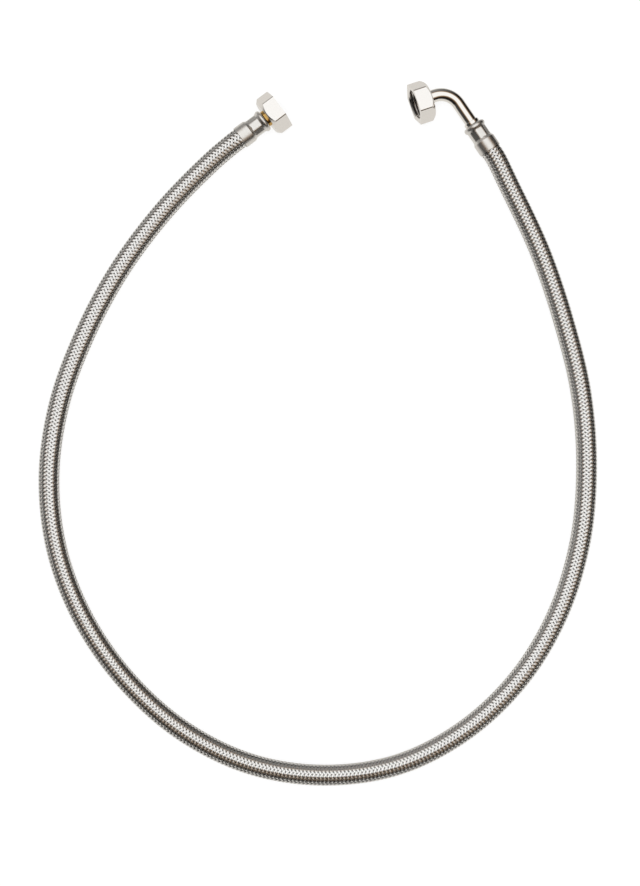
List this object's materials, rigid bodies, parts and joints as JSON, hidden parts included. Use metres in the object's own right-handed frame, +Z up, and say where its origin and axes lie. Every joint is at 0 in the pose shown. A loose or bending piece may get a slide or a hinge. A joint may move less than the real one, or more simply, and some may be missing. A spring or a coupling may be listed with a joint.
{
  "type": "braided flexible hose",
  "caption": "Flexible water hose in a stainless braid, lying in an open loop, with a straight union nut end and an elbow union nut end.",
  "frame": {"origin": "on the floor, under the middle of the box that holds both end fittings", "axes": "+Z up from the floor that the hose lies on; +X from the straight end towards the elbow end; +Y away from the loop"},
  "size_m": [0.3739, 0.4714, 0.0262],
  "materials": {
    "inner_tube": "extruded EPDM rubber, matt black",
    "braid": "woven bright stainless wire",
    "ferrule": "drawn and crimped stainless sheet, bright",
    "tailpiece": "turned brass, thinly plated",
    "pipe": "bent pipe, polished nickel plate",
    "nut": "machined brass, satin nickel plate",
    "washer": "moulded EPDM rubber"
  },
  "bodies": {
    "hose": {"inner_tube": "inner_tube", "braid_sleeve": "braid", "straight_ferrule": "ferrule", "elbow_ferrule": "ferrule", "straight_tailpiece": "tailpiece", "elbow_pipe": "pipe"},
    "straight_nut": {"straight_union_nut": "nut", "straight_sealing_washer": "washer"},
    "elbow_nut": {"elbow_union_nut": "nut", "elbow_sealing_washer": "washer"}
  },
  "joints": [
    {"name": "straight_nut_spin", "type": "hinge", "parent": "hose", "child": "straight_nut", "pos_m": [-0.06727, -0.00014, 0.0125], "axis": [0.7986, 0.6018, 0], "continuous": true},
    {"name": "elbow_nut_spin", "type": "hinge", "parent": "hose", "child": "elbow_nut", "pos_m": [0.04191, 0.01233, 0.01239], "axis": [-0.9337, -0.333, 0.1317], "continuous": true}
  ]
}
